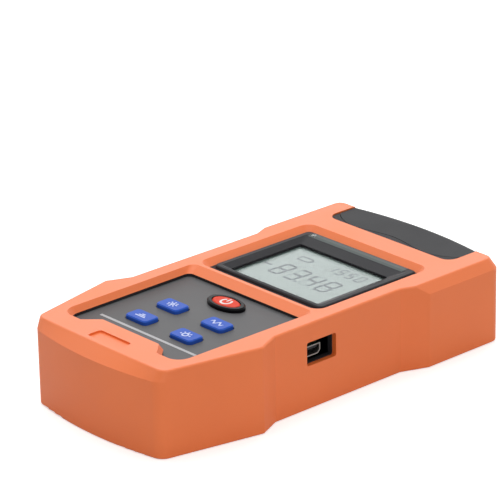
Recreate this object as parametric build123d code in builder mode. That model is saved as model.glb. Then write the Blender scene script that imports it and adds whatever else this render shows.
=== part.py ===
"""Hand-held optical power meter in a silicone boot, lying on its back.

Millimetres. X runs to the right of the display, Y towards the optical ports, Z up
through the display. The origin is under the middle of the meter, on the table.
"""
from build123d import *
import os
from math import radians, tan

os.makedirs("parts", exist_ok=True)

# Protective boot, outside
length = 162.4
height = 32.6
waist_width = 76.0
front_lobe_width = 84.0
rear_lobe_width = 84.4
front_width = 67.0
front_bow = 3.8
front_lobe_length = 43.0
front_facet_length = 9.0
rear_lobe_length = 39.3
rear_facet_length = 10.6
ear_setback = 2.7
front_corner_radius = 5.0
rear_corner_radius = 4.0
lobe_edge_radius = 2.0
crown_height = 4.0
crown_front_step = 5.4
crown_side_step = 2.2
crown_bow = 0.3
crown_corner_step = 1.0
top_edge_radius = 0.8
bottom_edge_radius = 0.8

# Protective boot, walls and windows
boot_wall = 2.0
boot_top = 2.3
boot_back = 2.0
boot_front_wall = 3.0
back_window_width = 54.0
back_window_near = 15.0
back_window_far = 12.0
back_window_radius = 8.0
recess_width = 16.6
recess_length = 6.0
recess_depth = 0.7
recess_from_front = 7.1
recess_radius = 1.0

# Keypad window, at the top face of the boot
keypad_window_width = 62.6
keypad_window_near = 14.0
keypad_window_length = 62.3
tab_width = 30.0
tab_height = 5.5
tab_slant = 46.0
keypad_lobe_radius = 5.5
keypad_corner_radius = 3.0
keypad_slope = 1.45
keypad_far_slope = 3.5
keypad_flare = 0.5
keypad_foot_radius = 1.0

# Display window, at the top face of the boot
window_bar = 1.5
display_window_width = 63.6
display_to_bay = 9.5
display_window_radius = 4.5
display_slope = 2.45

# Bay of the dust cap
bay_width = 64.0
bay_near = 19.4
bay_corner_radius = 4.5

# Casing
casing_wall = 2.0
casing_bow = 3.4
casing_corner_inset = 2.5
casing_taper_length = 23.06
split_under_usb = 2.5
lip_height = 1.2
lip_gap = 0.1
casing_front_radius = 4.0
casing_rear_radius = 3.0
boss_radius = 3.4
boss_inset = 6.0
rear_boss_inset = 12.0
screw_radius = 1.5
screw_hole_gap = 0.1
thread_gap = 0.02
blind_end = 0.5
screw_head_radius = 2.8
screw_head_height = 1.8
screw_socket = 2.5
screw_well_wall = 1.2
head_gap = 0.2
seat_thickness = 4.0
thread_depth = 8.0

# Keys
key_width = 11.2
key_length = 7.0
key_radius = 1.6
key_height = 1.45
key_gap = 0.3
key_pitch_x = 23.6
key_pitch_y = 14.2
lower_row_from_front = 34.6
power_row_pitch = 14.8
key_travel = 0.6
key_flange = 0.9
key_flange_thickness = 0.8
key_rest_gap = 0.05
key_edge_chamfer = 0.4
stem_radius = 1.5
power_key_width = 12.8
power_key_length = 7.1
power_key_height = 1.6
ring_side = 2.25
ring_front = 1.4
ring_height = 1.6
ring_edge_chamfer = 0.5
ring_gap = 0.2
panel_drop = 1.15
panel_thickness = 0.6
panel_margin = 0.15
panel_seat = 1.2
panel_seat_margin = 1.5
switch_size = 6.0
switch_height = 0.8
plunger_height = 0.4
switch_gap = 0.1

# Display
bezel_width = 57.2
bezel_near_gap = 2.15
bezel_far_gap = 0.35
bezel_radius = 2.4
bezel_height = 1.0
bezel_edge_radius = 0.9
view_width = 46.0
view_near = 3.9
view_far = 9.7
view_radius = 0.8
funnel_side = 3.2
funnel_near = 2.1
funnel_far = 6.8
funnel_depth = 1.2
funnel_radius = 1.6
glass_margin = 1.4
glass_gap = 0.2
skirt_wall = 1.0
skirt_gap = 0.1
skirt_depth = 3.0
lens_drop = 1.1
lens_thickness = 0.8
lcd_thickness = 1.4
display_stack_gap = 0.1
pipe_radius = 0.9
pipe_gap = 0.1
pipe_flange = 0.7
pipe_proud = 0.05
pipe_from_side = 5.2
pipe_from_far = 2.6
led_size = 2.0
led_height = 0.9
led_chamfer = 0.2

# Main board
board_drop = 4.0
board_thickness = 1.6
board_side_gap = 3.0
board_near = 17.5
board_far = 16.0
board_corner_radius = 2.0
standoff_radius = 2.3
standoff_inset = 2.8
board_screw_radius = 0.9
board_screw_depth = 3.0
board_screw_head_radius = 1.9
board_screw_head_height = 1.3
chip_size = 12.0
chip_height = 1.4
chip_chamfer = 0.3

# USB socket
usb_opening_length = 13.9
usb_opening_height = 8.9
usb_opening_from_front = 73.95
usb_opening_rise = 0.2
usb_opening_radius = 0.8
usb_ledge = 0.3
usb_offset = 2.4
usb_width = 7.7
usb_height = 3.9
usb_depth = 9.2
usb_wall = 0.4
usb_taper = 1.2
usb_setback = 0.3
usb_tongue_thickness = 0.9
usb_tongue_gap = 0.6
usb_tongue_setback = 1.0

# Dust cap and its hinge
cap_wall = 2.0
cap_top_thickness = 1.7
cap_top_drop = 0.3
cap_side_gap = 0.6
cap_bow = 2.9
cap_roll_radius = 6.0
cap_roll_floor = 3.0
cap_hollow_radius = 1.5
cap_table_gap = 0.2
cap_end_radius = 3.0
cap_swing_gap = 0.3
wave_gap = 0.9
wave_line = 0.3
wave_height = 2.6
wave_reach = 16.0
wave_side_height = 5.4
ear_gap = 0.3
ear_thickness = 2.5
ear_wall = 2.0
ear_height = 8.2
ear_corner_radius = 1.9
pip_radius = 1.2
pip_clearance = 0.05
pip_length = 2.2

# Optical ports
port_pitch = 34.0
port_rise = 0.85
port_opening_width = 56.0
port_opening_margin = 3.4
port_opening_radius = 2.0
plate_thickness = 1.5
plate_margin = 2.0
rib_length = 40.0
rib_thickness = 1.2
rib_height = 4.0
rib_gap = 0.1
flange_radius = 6.0
flange_thickness = 1.5
barrel_radius = 4.0
barrel_length = 8.0
barrel_bore_radius = 3.3
barrel_bore_depth = 5.5
sleeve_radius = 2.2
sleeve_drop = 0.8
ferrule_radius = 1.25
laser_barrel_radius = 3.5
mouth_chamfer = 0.4
stub_radius = 4.5
stub_length = 5.0
stub_gap = 0.1
nut_flats = 12.0
nut_thickness = 2.5
diode_radius = 2.35
diode_gap = 0.1
diode_depth = 3.0
diode_flange_radius = 2.7
diode_flange_thickness = 0.8
lead_size = 0.5
lead_pitch = 2.5
lead_reach = 3.0
laser_radius = 4.0
laser_length = 22.0

# Batteries
cell_length = 50.5
cell_gap = 0.8
cell_count = 3
nub_radius = 2.75
nub_length = 1.0
well_wall = 1.2
well_gap = 0.3
well_to_board = 2.9
well_near = 18.0
spring_length = 3.4
leaf_thickness = 0.4
leaf_width = 6.0
leaf_reach = 4.0
contact_thickness = 0.5
contact_width = 9.0
ledge_width = 2.0
ledge_thickness = 1.2
door_gap = 0.2
door_margin = 1.0
door_thickness = 1.8
door_radius = 2.0
tongue_width = 12.0
tongue_length = 8.0
door_boss_height = 8.0
door_screw_length = 8.0
hook_pitch = 28.0
hook_width = 8.0
hook_length = 1.5
hook_thickness = 0.9

# Heights and places that follow from the sizes above
front_end = -length / 2
rear_end = length / 2
crown_base = height - crown_height
casing_top = height - boot_top
casing_inside = casing_top - casing_wall
casing_floor = boot_back + casing_wall
board_top = casing_inside - board_drop
board_bottom = board_top - board_thickness
panel_top = casing_top - panel_drop
panel_bottom = panel_top - panel_thickness
seat_underside = panel_bottom - panel_seat
hinge_y = rear_end - cap_roll_radius
hinge_z = cap_roll_radius + cap_table_gap
casing_end = hinge_y - cap_roll_radius - cap_swing_gap
boot_taper = (front_lobe_width - front_width) / 2 / (front_lobe_length - front_bow)
keypad_window_far = front_end + keypad_window_near + keypad_window_length
display_window_near = keypad_window_far + window_bar
bay_near_y = rear_end - bay_near
display_window_far = bay_near_y - display_to_bay
bezel_near = display_window_near + display_slope + bezel_near_gap
bezel_far = display_window_far - display_slope - bezel_far_gap
bezel_middle = (bezel_near + bezel_far) / 2
view_length = bezel_far - bezel_near - view_near - view_far
view_middle = bezel_near + view_near + view_length / 2
lower_row_y = front_end + lower_row_from_front
upper_row_y = lower_row_y + key_pitch_y
power_row_y = upper_row_y + power_row_pitch
port_height = (boot_back + casing_top) / 2 + port_rise
port_opening_height = casing_inside - casing_floor - 2 * port_opening_margin
plate_front_y = casing_end - casing_wall
plate_back_y = plate_front_y - plate_thickness
ear_root = casing_end - casing_wall / 2
usb_z = board_bottom - usb_height / 2
usb_opening_z = usb_z + usb_opening_rise
split_height = usb_opening_z - usb_opening_height / 2 - split_under_usb
screw_seat = split_height - seat_thickness
back_window_near_y = front_end + back_window_near
back_window_far_y = casing_end - back_window_far
back_window_middle = (0, (back_window_near_y + back_window_far_y) / 2)
back_window_size = (back_window_width, back_window_far_y - back_window_near_y)


def mirrored(right):
    """The points of a closed outline, from those of its right half."""
    return right + [(-x, y) for x, y in reversed(right)]


def rounded_rectangle(middle, size, radius):
    """Sketch of a rounded rectangle."""
    with BuildSketch() as outline:
        with Locations(middle):
            RectangleRounded(*size, radius)
    return outline.sketch


# Plan of the boot at the table, and at its top face where the crown has drawn it in
def boot_outline(front_step, side_step, bow, front_radius, rear_radius):
    """Sketch of the boot in plan, drawn in by the steps of the crown."""
    front_y = front_end + front_bow
    corner_y = front_y + max(front_step - front_bow, 0)
    shoulder_y = front_end + front_lobe_length
    waist_far_y = rear_end - rear_lobe_length - rear_facet_length
    lobe_x = rear_lobe_width / 2 - side_step
    facet_share = 1 - side_step / ((rear_lobe_width - waist_width) / 2)
    outline = mirrored([
        (front_width / 2 + (corner_y - front_y) * boot_taper, corner_y),
        (front_lobe_width / 2, shoulder_y),
        (waist_width / 2, shoulder_y + front_facet_length),
        (waist_width / 2, waist_far_y),
        (lobe_x, waist_far_y + rear_facet_length * facet_share),
        (lobe_x, rear_end - ear_setback - side_step),
    ])
    radii = [front_radius] + 4 * [lobe_edge_radius] + [rear_radius]
    with BuildSketch() as plan:
        with BuildLine():
            Polyline(*outline)
            ThreePointArc(outline[-1], (0, corner_y - bow), outline[0])
        make_face()
        for row in reversed(range(len(radii))):
            fillet(plan.vertices().group_by(Axis.Y)[row], radii[row])
    return plan.sketch


body_outline = boot_outline(0, 0, front_bow, front_corner_radius, rear_corner_radius)
crown_outline = boot_outline(
    crown_front_step,
    crown_side_step,
    crown_bow,
    front_corner_radius - crown_corner_step,
    rear_corner_radius - crown_corner_step,
)

# Plan of the casing inside the boot
casing_half = min(waist_width, front_lobe_width, rear_lobe_width) / 2 - boot_wall
casing_corner_x = front_width / 2 - casing_corner_inset
casing_corner_y = front_end + boot_front_wall + casing_bow
casing_taper_end = casing_corner_y + casing_taper_length
casing_taper = (casing_half - casing_corner_x) / casing_taper_length
casing_points = mirrored([
    (casing_corner_x, casing_corner_y),
    (casing_half, casing_taper_end),
    (casing_half, casing_end),
])
with BuildSketch() as casing_plan:
    with BuildLine():
        Polyline(*casing_points)
        ThreePointArc(casing_points[-1], (0, casing_corner_y - casing_bow), casing_points[0])
    make_face()
    fillet(casing_plan.vertices().group_by(Axis.Y)[-1], casing_rear_radius)
    fillet(casing_plan.vertices().group_by(Axis.Y)[0], casing_front_radius)


def casing_inner(depth):
    """Sketch of the casing's plan, drawn in by the depth."""
    with BuildSketch() as inner:
        add(casing_plan.sketch)
        offset(amount=-depth)
    return inner.sketch


# Keypad window of the boot: wide at the top face and narrower on the panel
def keypad_window(slope, far_slope):
    """Sketch of the keypad window, drawn in by the slopes of its walls."""
    slant_shift = slope * tan(radians(tab_slant) / 2)
    tab_foot = tab_width / 2 + tab_height / tan(radians(tab_slant))
    near_y = front_end + keypad_window_near + slope
    half = keypad_window_width / 2 - slope
    outline_points = mirrored([
        (tab_width / 2 + slant_shift, near_y + tab_height),
        (tab_foot + slant_shift, near_y),
        (half, near_y),
        (half + keypad_flare, keypad_window_far - far_slope),
    ])
    with BuildSketch() as outline:
        with BuildLine():
            Polyline(*outline_points, close=True)
        make_face()
        fillet(outline.vertices().group_by(Axis.Y)[-1], keypad_corner_radius - slope / 2)
        fillet(outline.vertices().group_by(Axis.Y)[1], keypad_foot_radius)
        corners = outline.vertices().group_by(Axis.Y)[0].sort_by(Axis.X)
        fillet([corners[0], corners[-1]], keypad_lobe_radius - slope / 2)
    return outline.sketch


# Display window of the boot
def display_window(slope):
    """Sketch of the display window, drawn in by the slope of its walls."""
    return rounded_rectangle(
        (0, (display_window_near + display_window_far) / 2),
        (display_window_width - 2 * slope, display_window_far - display_window_near - 2 * slope),
        display_window_radius - slope,
    )


# Places of the keys
key_places = {
    "laser_key": (-key_pitch_x / 2, upper_row_y),
    "wavelength_key": (key_pitch_x / 2, upper_row_y),
    "reference_key": (-key_pitch_x / 2, lower_row_y),
    "backlight_key": (key_pitch_x / 2, lower_row_y),
}
power_place = (0, power_row_y)
flange_top = seat_underside - key_rest_gap
flange_bottom = flange_top - key_flange_thickness
stem_end = board_top + switch_height + plunger_height + switch_gap + key_travel
with BuildSketch() as key_holes:
    with Locations(*key_places.values()):
        RectangleRounded(key_width + 2 * key_gap, key_length + 2 * key_gap, key_radius + key_gap)
    with Locations(power_place):
        Ellipse(power_key_width / 2 + key_gap, power_key_length / 2 + key_gap)



# Plan of the keypad panel and its seat, a little larger than the foot of the keypad window
def panel_outline(margin):
    """Sketch of the foot of the keypad window, grown by the margin."""
    with BuildSketch() as outline:
        add(keypad_window(keypad_slope, keypad_far_slope))
        offset(amount=margin)
    return outline.sketch


# Places of the screw bosses that join the casing halves
front_boss = (casing_corner_x - boss_inset + boss_inset * casing_taper, casing_corner_y + boss_inset)
rear_boss = (casing_half - boss_inset, casing_end - rear_boss_inset)
boss_places = [(side * x, y) for x, y in (front_boss, rear_boss) for side in (-1, 1)]

# Places of the main board and of the posts that carry it
board_near_y = front_end + board_near
board_far_y = casing_end - board_far
board_middle_y = (board_near_y + board_far_y) / 2
board_length = board_far_y - board_near_y
board_width = 2 * (casing_half - casing_wall - board_side_gap)
post_rows = (board_near_y + standoff_inset, board_far_y - standoff_inset)
post_places = [(side * (board_width / 2 - standoff_inset), y) for y in post_rows for side in (-1, 1)]

# Places of the display's glass, the lamp and the USB socket
glass_size = (view_width + 2 * glass_margin, view_length + 2 * glass_margin)
skirt_inner = (glass_size[0] + 2 * glass_gap, glass_size[1] + 2 * glass_gap)
skirt_outer = (skirt_inner[0] + 2 * skirt_wall, skirt_inner[1] + 2 * skirt_wall)
skirt_opening = (skirt_outer[0] + 2 * skirt_gap, skirt_outer[1] + 2 * skirt_gap)
bezel_top = casing_top + bezel_height
lens_top = casing_top - lens_drop
lens_bottom = lens_top - lens_thickness
lcd_bottom = lens_bottom - display_stack_gap - lcd_thickness
funnel_size = (view_width + 2 * funnel_side, view_length + funnel_near + funnel_far)
funnel_middle = view_middle + (funnel_far - funnel_near) / 2
pipe_place = (pipe_from_side - bezel_width / 2, bezel_far - pipe_from_far)
usb_opening_y = front_end + usb_opening_from_front
usb_y = usb_opening_y - usb_offset
usb_mouth_x = casing_half - usb_setback

# Places of the dust cap and the ears that carry it
cap_half = bay_width / 2 - cap_side_gap
cap_top = height - cap_top_drop
cap_underside = cap_top - cap_top_thickness
ear_inner = cap_half + ear_gap
ear_outer = ear_inner + ear_thickness
ear_end = hinge_y + ear_wall
wave_y = bay_near_y + wave_gap
cap_floor = hinge_z - cap_roll_radius + cap_roll_floor


def wave_points(near_y):
    """Points of the waved line between the casing and the dust cap, from its nearest Y."""
    return [
        (-cap_half, near_y + wave_side_height),
        (-wave_reach, near_y),
        (0, near_y + wave_height),
        (wave_reach, near_y),
        (cap_half, near_y + wave_side_height),
    ]


# Plan of the dust cap, with its waved near edge, and of the step of the casing that meets it
cap_wave = wave_points(wave_y)
step_wave = wave_points(wave_y - wave_line)
with BuildSketch() as cap_plan:
    with BuildLine():
        Spline(*cap_wave)
        Line(cap_wave[-1], (cap_half, rear_end - cap_bow))
        ThreePointArc((cap_half, rear_end - cap_bow), (0, rear_end), (-cap_half, rear_end - cap_bow))
        Line((-cap_half, rear_end - cap_bow), cap_wave[0])
    make_face()
with BuildSketch() as cap_step:
    with BuildLine():
        Spline(*step_wave)
        Polyline(step_wave[-1], (cap_half, bay_near_y), (-cap_half, bay_near_y), step_wave[0])
    make_face()
    fillet(cap_step.vertices().group_by(Axis.Y)[0], bay_corner_radius - cap_side_gap)

# Places along the ports
barrel_end_y = plate_front_y + flange_thickness + barrel_length
stub_end_y = plate_front_y - stub_length
diode_seat_y = stub_end_y + diode_depth + diode_gap
with BuildPart() as port_opening:
    with BuildSketch(Plane.XZ.offset(-casing_end)):
        with Locations((0, port_height)):
            RectangleRounded(port_opening_width, port_opening_height, port_opening_radius)
    extrude(amount=casing_wall)

# Places of the battery well and its door
well_near_y = front_end + well_near
well_length = cell_length + nub_length + spring_length + 2 * contact_thickness
well_far_y = well_near_y + well_length
well_middle_y = (well_near_y + well_far_y) / 2
door_top = boot_back + door_thickness
well_roof = board_bottom - well_to_board - well_wall
cell_radius = (well_roof - door_top) / 2 - well_gap
cell_pitch = 2 * cell_radius + cell_gap
cell_bottom = door_top + well_gap
cell_z = cell_bottom + cell_radius
well_half = (cell_count - 1) * cell_pitch / 2 + cell_radius + well_gap
door_size = (2 * (well_half + door_margin), well_length + 2 * door_margin)
tongue_y = well_far_y + door_margin + tongue_length / 2
door_screw_place = (0, tongue_y)
door_near_y = well_near_y - door_margin
hook_places = [(-hook_pitch / 2, door_near_y), (hook_pitch / 2, door_near_y)]
cell_rows = [(row - (cell_count - 1) / 2) * cell_pitch for row in range(cell_count)]


def door_outline(gap):
    """Sketch of the battery door with its screw tongue, grown by the gap."""
    with BuildSketch() as outline:
        with Locations((0, well_middle_y)):
            RectangleRounded(door_size[0] + 2 * gap, door_size[1] + 2 * gap, door_radius)
        with Locations((0, tongue_y - door_radius / 2)):
            RectangleRounded(tongue_width + 2 * gap, tongue_length + door_radius + 2 * gap, door_radius)
    return outline.sketch


# Protective boot: one moulding of silicone rubber that stretches over the casing
with BuildPart() as protective_boot:
    with BuildSketch():
        add(body_outline)
    extrude(amount=crown_base)
    with BuildSketch(Plane.XY.offset(crown_base)):
        add(body_outline)
    with BuildSketch(Plane.XY.offset(height)):
        add(crown_outline)
    loft(ruled=True)
    fillet(protective_boot.faces().sort_by(Axis.Z)[-1].outer_wire().edges(), top_edge_radius)
    fillet(protective_boot.faces().sort_by(Axis.Z)[0].outer_wire().edges(), bottom_edge_radius)
    # hollow for the casing and pockets for the ears of the dust cap
    with BuildSketch(Plane.XY.offset(boot_back)):
        add(casing_plan.sketch)
    extrude(amount=casing_top - boot_back, mode=Mode.SUBTRACT)
    with BuildSketch(Plane.XY.offset(boot_back)):
        with Locations((0, ear_root)):
            Rectangle(2 * ear_outer, ear_end - ear_root, align=(Align.CENTER, Align.MIN))
    extrude(amount=ear_height, mode=Mode.SUBTRACT)
    # keypad window and display window with sloping walls
    with BuildSketch(Plane.XY.offset(casing_top)):
        add(keypad_window(keypad_slope, keypad_far_slope))
    with BuildSketch(Plane.XY.offset(height)):
        add(keypad_window(0, 0))
    loft(ruled=True, mode=Mode.SUBTRACT)
    with BuildSketch(Plane.XY.offset(casing_top)):
        add(display_window(display_slope))
    with BuildSketch(Plane.XY.offset(height)):
        add(display_window(0))
    loft(ruled=True, mode=Mode.SUBTRACT)
    # bay of the dust cap: a window over the casing's end, open right through behind it
    with BuildSketch(Plane.XY.offset(casing_top)) as bay:
        with Locations((0, bay_near_y)):
            Rectangle(bay_width, 2 * bay_near, align=(Align.CENTER, Align.MIN))
        fillet(bay.vertices().group_by(Axis.Y)[0], bay_corner_radius)
    extrude(amount=boot_top, mode=Mode.SUBTRACT)
    with BuildSketch():
        with Locations((0, casing_end)):
            Rectangle(bay_width, bay_near, align=(Align.CENTER, Align.MIN))
    extrude(amount=height, mode=Mode.SUBTRACT)
    # window in the back, opening for the USB plug, and the shallow recess in the front bar
    with BuildSketch():
        add(rounded_rectangle(back_window_middle, back_window_size, back_window_radius))
    extrude(amount=boot_back, mode=Mode.SUBTRACT)
    with BuildSketch(Plane.YZ.offset(casing_half)):
        with Locations((usb_opening_y, usb_opening_z)):
            RectangleRounded(usb_opening_length, usb_opening_height, usb_opening_radius)
    extrude(amount=waist_width / 2 - casing_half, mode=Mode.SUBTRACT)
    with BuildSketch(Plane.XY.offset(height)):
        with Locations((0, front_end + recess_from_front + recess_length / 2)):
            RectangleRounded(recess_width, recess_length, recess_radius)
    extrude(amount=-recess_depth, mode=Mode.SUBTRACT)
protective_boot.part.label = "protective_boot"
export_step(protective_boot.part, "parts/protective_boot.step")


# Front half of the casing: carries the keypad, the display, the board and the screws' threads
with BuildPart() as front_casing:
    with BuildSketch(Plane.XY.offset(split_height)):
        add(casing_plan.sketch)
    extrude(amount=casing_top - split_height)
    with BuildSketch(Plane.XY.offset(split_height)):
        add(casing_inner(casing_wall))
    extrude(amount=casing_inside - split_height, mode=Mode.SUBTRACT)
    with BuildSketch(Plane.XY.offset(split_height)):
        add(casing_inner(casing_wall / 2 - lip_gap))
    extrude(amount=lip_height + lip_gap, mode=Mode.SUBTRACT)
    # step that fills the bay up to the dust cap
    with BuildSketch(Plane.XY.offset(casing_top)):
        add(cap_step.sketch)
    extrude(amount=cap_top - casing_top)
    # seat of the keypad panel, screw bosses and the posts of the board
    with BuildSketch(Plane.XY.offset(seat_underside)):
        add(panel_outline(panel_seat_margin))
    extrude(amount=casing_inside - seat_underside)
    with BuildSketch(Plane.XY.offset(split_height)):
        with Locations(*boss_places):
            Circle(boss_radius)
    extrude(amount=casing_inside - split_height)
    with BuildSketch(Plane.XY.offset(split_height)):
        with Locations(*boss_places):
            Circle(screw_radius + thread_gap)
    extrude(amount=thread_depth + blind_end, mode=Mode.SUBTRACT)
    with BuildSketch(Plane.XY.offset(board_top)):
        with Locations(*post_places):
            Circle(standoff_radius)
    extrude(amount=board_drop)
    with BuildSketch(Plane.XY.offset(board_top)):
        with Locations(*post_places):
            Circle(board_screw_radius + thread_gap)
    extrude(amount=board_screw_depth + blind_end, mode=Mode.SUBTRACT)
    # rib that holds the port plate against the end wall
    with BuildSketch(Plane.XY.offset(casing_inside)):
        with Locations((0, plate_back_y - rib_gap)):
            Rectangle(rib_length, rib_thickness, align=(Align.CENTER, Align.MAX))
    extrude(amount=-rib_height)
    # pocket of the keypad panel and the holes of the keys
    with BuildSketch(Plane.XY.offset(panel_bottom)):
        add(panel_outline(panel_margin))
    extrude(amount=casing_top - panel_bottom, mode=Mode.SUBTRACT)
    with BuildSketch(Plane.XY.offset(seat_underside)):
        add(key_holes)
    extrude(amount=panel_seat, mode=Mode.SUBTRACT)
    # openings for the display, the lamp's pipe, the USB plug and the ports
    with BuildSketch(Plane.XY.offset(casing_top)):
        with Locations((0, view_middle)):
            Rectangle(*skirt_opening)
        with Locations(pipe_place):
            Circle(pipe_radius + pipe_gap)
    extrude(amount=-casing_wall, mode=Mode.SUBTRACT)
    with BuildSketch(Plane.YZ.offset(casing_half - casing_wall)):
        with Locations((usb_opening_y, usb_opening_z)):
            Rectangle(usb_opening_length - 2 * usb_ledge, usb_opening_height - 2 * usb_ledge)
    extrude(amount=casing_wall, mode=Mode.SUBTRACT)
    add(port_opening.part, mode=Mode.SUBTRACT)
front_casing.part.label = "front_casing"
export_step(front_casing.part, "parts/front_casing.step")

# Rear half of the casing: floor, battery well, screw wells, lip and the ears of the dust cap
with BuildPart() as rear_casing:
    with BuildSketch(Plane.XY.offset(boot_back)):
        add(casing_plan.sketch)
    extrude(amount=split_height - boot_back)
    with BuildSketch(Plane.XY.offset(casing_floor)):
        add(casing_inner(casing_wall))
    extrude(amount=split_height - casing_floor, mode=Mode.SUBTRACT)
    with BuildSketch(Plane.XY.offset(split_height)):
        add(casing_inner(casing_wall / 2))
        add(casing_inner(casing_wall), mode=Mode.SUBTRACT)
    extrude(amount=lip_height)
    # battery well with a ledge round the door's opening, and the boss of the door's screw
    with BuildSketch(Plane.XY.offset(door_top)):
        add(door_outline(door_gap + ledge_width))
    extrude(amount=ledge_thickness)
    with BuildSketch(Plane.XY.offset(door_top)):
        with Locations((0, well_middle_y)):
            Rectangle(2 * (well_half + well_wall), well_length + 2 * well_wall)
    extrude(amount=well_roof + well_wall - door_top)
    with BuildSketch(Plane.XY.offset(door_top)):
        with Locations(door_screw_place):
            Circle(boss_radius)
    extrude(amount=door_boss_height)
    with BuildSketch(Plane.XY.offset(door_top)):
        with Locations((0, well_middle_y)):
            Rectangle(2 * well_half, well_length)
    extrude(amount=well_roof - door_top, mode=Mode.SUBTRACT)
    with BuildSketch(Plane.XY.offset(boot_back)):
        add(door_outline(door_gap))
    extrude(amount=door_thickness, mode=Mode.SUBTRACT)
    with BuildSketch(Plane.XY.offset(door_top)):
        with Locations(door_screw_place):
            Circle(screw_radius + thread_gap)
    extrude(amount=door_screw_length - door_thickness + blind_end, mode=Mode.SUBTRACT)
    with BuildSketch(Plane.XY.offset(door_top)):
        with Locations(*hook_places):
            Rectangle(hook_width + 2 * door_gap, hook_length + door_gap, align=(Align.CENTER, Align.MAX))
    extrude(amount=-(hook_thickness + door_gap), mode=Mode.SUBTRACT)
    # wells for the heads of the casing screws
    with BuildSketch(Plane.XY.offset(boot_back)):
        with Locations(*boss_places):
            Circle(screw_head_radius + head_gap + screw_well_wall)
    extrude(amount=split_height - boot_back)
    with BuildSketch(Plane.XY.offset(boot_back)):
        with Locations(*boss_places):
            Circle(screw_head_radius + head_gap)
    extrude(amount=screw_seat - boot_back, mode=Mode.SUBTRACT)
    with BuildSketch(Plane.XY.offset(boot_back)):
        with Locations(*boss_places):
            Circle(screw_radius + screw_hole_gap)
    extrude(amount=split_height - boot_back, mode=Mode.SUBTRACT)
    # rib that holds the port plate, and the opening of the ports
    with BuildSketch(Plane.XY.offset(casing_floor)):
        with Locations((0, plate_back_y - rib_gap)):
            Rectangle(rib_length, rib_thickness, align=(Align.CENTER, Align.MAX))
    extrude(amount=rib_height)
    add(port_opening.part, mode=Mode.SUBTRACT)
    # ears with the pivot holes of the dust cap
    for ear_x in (ear_inner, -ear_outer):
        with BuildSketch(Plane.YZ.offset(ear_x)) as ear:
            with Locations((ear_root, boot_back)):
                Rectangle(ear_end - ear_root, ear_height, align=(Align.MIN, Align.MIN))
            fillet(ear.vertices().group_by(Axis.X)[-1], ear_corner_radius)
            with Locations((hinge_y, hinge_z)):
                Circle(pip_radius + pip_clearance, mode=Mode.SUBTRACT)
        extrude(amount=ear_thickness)
rear_casing.part.label = "rear_casing"
export_step(rear_casing.part, "parts/rear_casing.step")

# Casing screws, driven from the back into the bosses of the front half
with BuildPart() as casing_screws:
    with BuildSketch(Plane.XY.offset(screw_seat)):
        with Locations(*boss_places):
            Circle(screw_head_radius)
    extrude(amount=-screw_head_height)
    with BuildSketch(Plane.XY.offset(screw_seat)):
        with Locations(*boss_places):
            Circle(screw_radius)
    extrude(amount=split_height - screw_seat + thread_depth)
    with BuildSketch(Plane.XY.offset(screw_seat - screw_head_height)):
        with Locations(*boss_places):
            RegularPolygon(screw_socket / 2, 6, major_radius=False)
    extrude(amount=screw_head_height / 2, mode=Mode.SUBTRACT)
casing_screws.part.label = "casing_screws"
export_step(casing_screws.part, "parts/casing_screws.step")

# Battery door, hooked under the floor at one end and screwed down by its tongue at the other
with BuildPart() as battery_door:
    with BuildSketch(Plane.XY.offset(boot_back)):
        add(door_outline(0))
    extrude(amount=door_thickness)
    with BuildSketch(Plane.XY.offset(door_top)):
        with Locations(*hook_places):
            Rectangle(hook_width, hook_length, align=(Align.CENTER, Align.MAX))
            Rectangle(hook_width, door_radius, align=(Align.CENTER, Align.MIN))
    extrude(amount=-hook_thickness)
    with Locations(Plane((0, tongue_y, boot_back), z_dir=(0, 0, -1))):
        CounterSinkHole(screw_radius + screw_hole_gap, screw_head_radius + screw_hole_gap, door_thickness, 90)
battery_door.part.label = "battery_door"
export_step(battery_door.part, "parts/battery_door.step")

# Screw of the battery door, with a countersunk head
with BuildPart() as battery_door_screw:
    with BuildSketch(Plane.XY.offset(boot_back)):
        with Locations(door_screw_place):
            Circle(screw_radius)
    extrude(amount=door_screw_length)
    with BuildSketch(Plane.XY.offset(boot_back)):
        with Locations(door_screw_place):
            Circle(screw_head_radius)
    extrude(amount=screw_head_radius - screw_radius, taper=45)
battery_door_screw.part.label = "battery_door_screw"
export_step(battery_door_screw.part, "parts/battery_door_screw.step")

# Keypad panel: a thin printed sheet in a pocket of the casing
with BuildPart() as keypad_panel:
    with BuildSketch(Plane.XY.offset(panel_bottom)):
        add(panel_outline(panel_margin))
        add(key_holes, mode=Mode.SUBTRACT)
    extrude(amount=panel_thickness)
keypad_panel.part.label = "keypad_panel"
export_step(keypad_panel.part, "parts/keypad_panel.step")

# Ring round the power key
with BuildPart() as power_key_ring:
    with BuildSketch(Plane.XY.offset(panel_top)):
        with Locations(power_place):
            Ellipse(power_key_width / 2 + ring_side, power_key_length / 2 + ring_front)
            Ellipse(power_key_width / 2 + ring_gap, power_key_length / 2 + ring_gap, mode=Mode.SUBTRACT)
    extrude(amount=ring_height)
    chamfer(power_key_ring.faces().sort_by(Axis.Z)[-1].outer_wire().edges(), ring_edge_chamfer)
power_key_ring.part.label = "power_key_ring"
export_step(power_key_ring.part, "parts/power_key_ring.step")

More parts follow.
